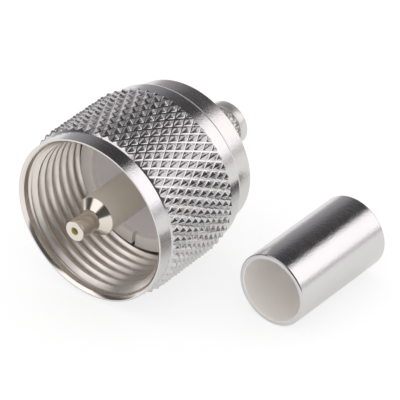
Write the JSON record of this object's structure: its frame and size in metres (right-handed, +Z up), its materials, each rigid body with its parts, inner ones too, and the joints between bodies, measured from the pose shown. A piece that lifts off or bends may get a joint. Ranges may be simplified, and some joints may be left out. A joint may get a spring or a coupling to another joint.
{
  "type": "uhf coaxial crimp plug",
  "caption": "Screw-coupling coaxial plug: diamond-knurled nut that spins and slides on its body, hollow centre pin, knurled crimp stem, and a plain crimp ferrule lying beside it.",
  "frame": {"origin": "centre of the resting set's box, on the surface that it rests on", "axes": "+Y along the plug's axis towards the cable end, +X towards the loose ferrule, +Z up"},
  "size_m": [0.0287, 0.0236, 0.0178],
  "materials": {
    "nut_plating": "bright nickel plate",
    "body_plating": "bright nickel plate",
    "insulator_plastic": "matt grey moulding",
    "pin_plating": "bright plate, warm",
    "stem_plating": "nickel plate over knurl",
    "spring_bronze": "plain spring bronze",
    "ferrule_plating": "satin nickel plate"
  },
  "bodies": {
    "plug": {"plug_body": "body_plating", "insulator": "insulator_plastic", "centre_pin": "pin_plating", "crimp_stem": "stem_plating", "crimp_ferrule": "ferrule_plating"},
    "ring": {"retaining_ring": "spring_bronze"},
    "nut": {"coupling_nut": "nut_plating"}
  },
  "joints": [
    {"name": "nut_slide", "type": "slide", "parent": "plug", "child": "ring", "axis": [0, -1, 0], "range_m": [0, 0.0023]},
    {"name": "nut_spin", "type": "hinge", "parent": "ring", "child": "nut", "pos_m": [-0.00547, -0.00356, 0.00888], "axis": [0, -1, 0], "continuous": true}
  ]
}
